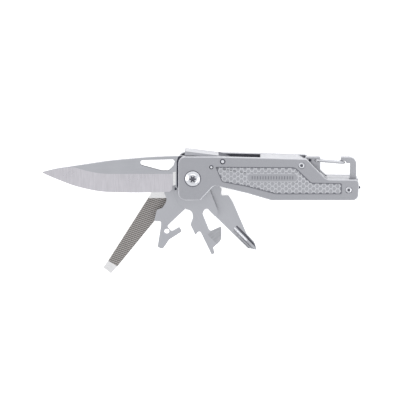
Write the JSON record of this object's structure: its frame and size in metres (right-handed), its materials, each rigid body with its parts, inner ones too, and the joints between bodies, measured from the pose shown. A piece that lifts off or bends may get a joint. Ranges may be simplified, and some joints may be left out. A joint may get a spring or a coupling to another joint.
{
  "type": "folding multi tool",
  "caption": "Folding steel multi tool with locking knife blade, openers, driver, file and a carabiner hook with wire gate.",
  "frame": {"origin": "main pivot axis at the outer face of the back scale", "axes": "+X from the pivot to the tail of the handle, +Y towards the spine, +Z out of the front scale; the tool lies on its back scale"},
  "size_m": [0.1834, 0.0741, 0.0182],
  "materials": {
    "matt_steel": "matt bead-blasted steel",
    "satin_steel": "satin stainless steel",
    "blade_steel": "satin ground stainless steel",
    "file_steel": "cut file teeth, ground tip",
    "polished_steel": "polished steel",
    "spine_steel": "bright machined steel",
    "dark_steel": "dark spring steel",
    "bronze": "bearing bronze"
  },
  "bodies": {
    "handle": {"front_scale": "matt_steel", "back_scale": "matt_steel", "backspacer": "spine_steel", "hook_plate": "matt_steel", "tail_spacer_front": "spine_steel", "tail_spacer_back": "spine_steel", "lock_spring": "dark_steel", "pivot_barrel": "polished_steel", "pivot_screw": "polished_steel", "stop_pin": "polished_steel", "lever_pin": "polished_steel", "upper_standoff": "satin_steel", "upper_screw_front": "polished_steel", "upper_screw_back": "polished_steel", "tail_standoff": "satin_steel", "tail_screw_front": "polished_steel", "tail_screw_back": "polished_steel", "pivot_washer_1": "bronze", "pivot_washer_2": "bronze", "pivot_washer_3": "bronze", "pivot_washer_4": "bronze", "pivot_washer_5": "bronze", "pivot_washer_6": "bronze", "glass_breaker": "dark_steel"},
    "knife": {"blade": "blade_steel"},
    "can_tool": {"can_opener": "satin_steel"},
    "bottle_tool": {"bottle_opener": "satin_steel"},
    "driver_tool": {"cross_driver": "satin_steel"},
    "file_tool": {"file": "file_steel"},
    "lever": {"lock_lever": "spine_steel"},
    "gate": {"wire_gate": "polished_steel"}
  },
  "joints": [
    {"name": "blade_fold", "type": "hinge", "parent": "handle", "child": "knife", "pos_m": [0, 0, 0.0132], "axis": [0, 0, 1], "range_deg": [0, 175]},
    {"name": "can_opener_fold", "type": "hinge", "parent": "handle", "child": "can_tool", "pos_m": [0, 0, 0.0108], "axis": [0, 0, 1], "range_deg": [-95, 60]},
    {"name": "bottle_opener_fold", "type": "hinge", "parent": "handle", "child": "bottle_tool", "pos_m": [0, 0, 0.0089], "axis": [0, 0, 1], "range_deg": [-58, 108]},
    {"name": "driver_fold", "type": "hinge", "parent": "handle", "child": "driver_tool", "pos_m": [0, 0, 0.0065], "axis": [0, 0, 1], "range_deg": [-125, 43]},
    {"name": "file_fold", "type": "hinge", "parent": "handle", "child": "file_tool", "pos_m": [0, 0, 0.0038], "axis": [0, 0, 1], "range_deg": [-48, 125]},
    {"name": "lever_lift", "type": "hinge", "parent": "handle", "child": "lever", "pos_m": [0.0172, 0.01, 0.0085], "axis": [0, 0, -1], "range_deg": [0, 8], "stiffness_Nm_per_rad": 0.3, "springref_deg": -11.46},
    {"name": "gate_open", "type": "hinge", "parent": "handle", "child": "gate", "pos_m": [0.0709, 0.0097, 0.0092], "axis": [0, 0, -1], "range_deg": [0, 28], "stiffness_Nm_per_rad": 0.05, "springref_deg": -11.46}
  ]
}
